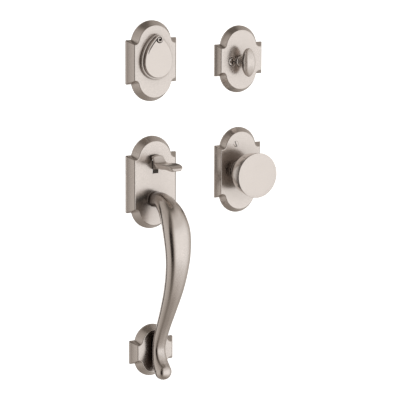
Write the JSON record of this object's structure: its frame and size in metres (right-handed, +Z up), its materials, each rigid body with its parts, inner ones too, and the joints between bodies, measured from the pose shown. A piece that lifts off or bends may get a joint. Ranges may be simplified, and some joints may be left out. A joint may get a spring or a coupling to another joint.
{
  "type": "entry door handleset",
  "caption": "Satin nickel entry handleset: arched plates with square ears, an S-shaped pull with thumb latch, deadbolt with scrolled key cover, thumb turn and drum knob.",
  "frame": {"origin": "middle of the handle plate's back, in the door plane", "axes": "+X across the door towards the inside trim as shown, +Y into the door away from the user, +Z up"},
  "size_m": [0.1932, 0.1123, 0.4367],
  "materials": {
    "satin_nickel": "satin nickel plate on cast metal",
    "brass": "machined",
    "steel": "zinc plated",
    "spring_steel": "drawn wire and strip"
  },
  "bodies": {
    "fixed_set": {"cylinder_rose": "satin_nickel", "key_collar": "satin_nickel", "cylinder_housing": "satin_nickel", "handle_plate": "satin_nickel", "pull_handle": "satin_nickel", "foot_rose": "satin_nickel", "turn_rose": "satin_nickel", "turn_screw_left": "satin_nickel", "turn_screw_right": "satin_nickel", "turn_bushing": "satin_nickel", "knob_rose": "satin_nickel", "rose_lock_screw": "satin_nickel", "knob_bushing": "satin_nickel", "cylinder_post_left": "brass", "cylinder_post_right": "brass", "handle_stud_left": "brass", "handle_stud_right": "brass", "cover_pivot_pin": "steel", "turn_steel_plate": "steel", "thumb_pivot_pin": "steel", "pull_bolt": "steel", "foot_bolt": "steel", "knob_steel_plate": "steel", "knob_bolt_left": "steel", "knob_bolt_right": "steel", "return_cage": "steel", "thumb_return_spring": "spring_steel"},
    "key_cover": {"key_cover": "satin_nickel"},
    "plug": {"cylinder_plug": "brass", "plug_retainer": "steel", "cylinder_tailpiece": "steel"},
    "thumbpiece": {"thumbpiece": "satin_nickel"},
    "turn": {"turn_piece": "satin_nickel", "turn_spindle": "steel", "turn_clip": "spring_steel"},
    "knob": {"knob": "satin_nickel", "knob_spindle": "steel", "knob_clip": "spring_steel", "return_cam": "steel", "knob_return_spring": "spring_steel"}
  },
  "joints": [
    {"name": "cover_swing", "type": "hinge", "parent": "fixed_set", "child": "key_cover", "pos_m": [0.0009, -0.0161, 0.1751], "axis": [0, 1, 0], "range_deg": [-110, 110]},
    {"name": "plug_turn", "type": "hinge", "parent": "fixed_set", "child": "plug", "pos_m": [0, 0, 0.1475], "axis": [0, 1, 0], "range_deg": [-90, 90]},
    {"name": "thumb_press", "type": "hinge", "parent": "fixed_set", "child": "thumbpiece", "pos_m": [0, -0.0046, 0.022], "axis": [1, 0, 0], "range_deg": [0, 16], "stiffness_Nm_per_rad": 0.08, "springref_deg": -28.65, "deforming": ["thumb_return_spring"]},
    {"name": "turn_turn", "type": "hinge", "parent": "fixed_set", "child": "turn", "pos_m": [0.1241, 0, 0.1403], "axis": [0, 1, 0], "range_deg": [-90, 90]},
    {"name": "knob_turn", "type": "hinge", "parent": "fixed_set", "child": "knob", "pos_m": [0.1241, 0, 0.0039], "axis": [0, 1, 0], "range_deg": [-60, 60], "stiffness_Nm_per_rad": 0.15}
  ]
}
